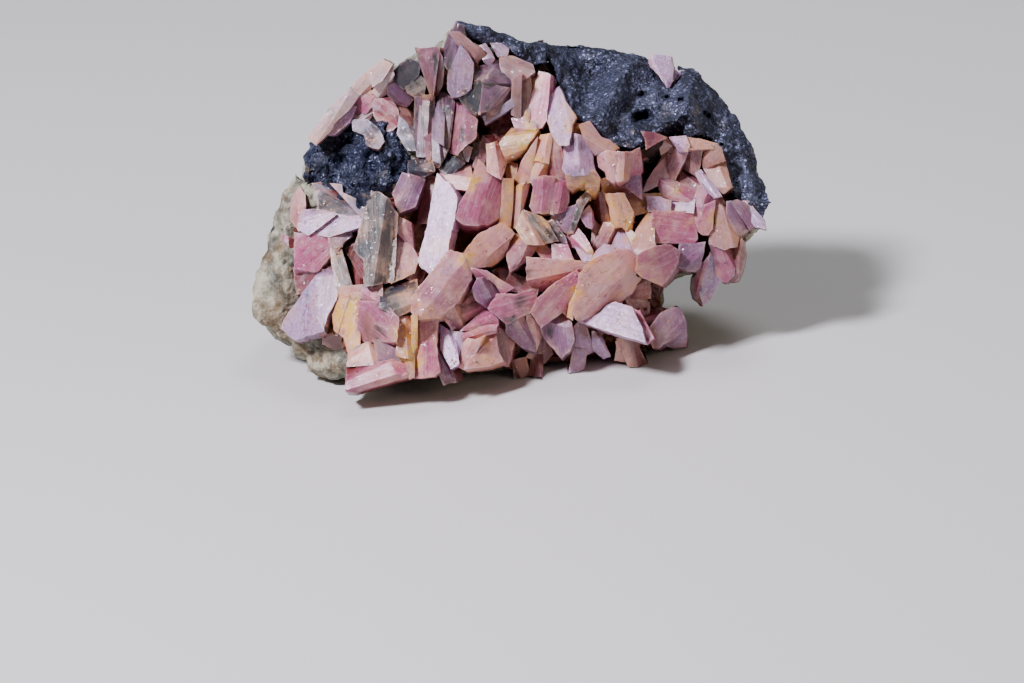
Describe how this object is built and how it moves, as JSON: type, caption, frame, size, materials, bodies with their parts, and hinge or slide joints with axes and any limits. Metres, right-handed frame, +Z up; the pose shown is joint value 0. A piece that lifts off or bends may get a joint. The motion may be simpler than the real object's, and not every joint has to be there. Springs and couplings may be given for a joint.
{
  "type": "inesite crystal cluster",
  "caption": "Loose mineral specimen: blocky pink inesite crystals over a pale weathered host rock, with a dark metallic oxide crust over the top, standing on its flat underside.",
  "frame": {"origin": "centre of the specimen's bounding box, on the plane of its flat underside", "axes": "+X runs along the specimen's length, to the right as the crystal face is seen; the crystal face looks towards -Y and leans back; +Z is up"},
  "size_m": [0.0662, 0.0376, 0.0428],
  "materials": {
    "host_rock": "matt, pale greenish cream weathered rock with brown and yellow stains and small dark pits",
    "inesite": "silky to glassy, slightly translucent pink, lilac and peach, striated along each crystal, with orange and yellow stains",
    "oxide_crust": "dull metallic blue-grey manganese oxide, lumpy, pitted and sparkling"
  },
  "bodies": {
    "root": {"host_rock": "host_rock", "inesite_crystals": "inesite", "roof_crystal": "inesite", "crust_roof": "oxide_crust", "crust_peak": "oxide_crust", "dark_knot": "oxide_crust"}
  },
  "joints": []
}
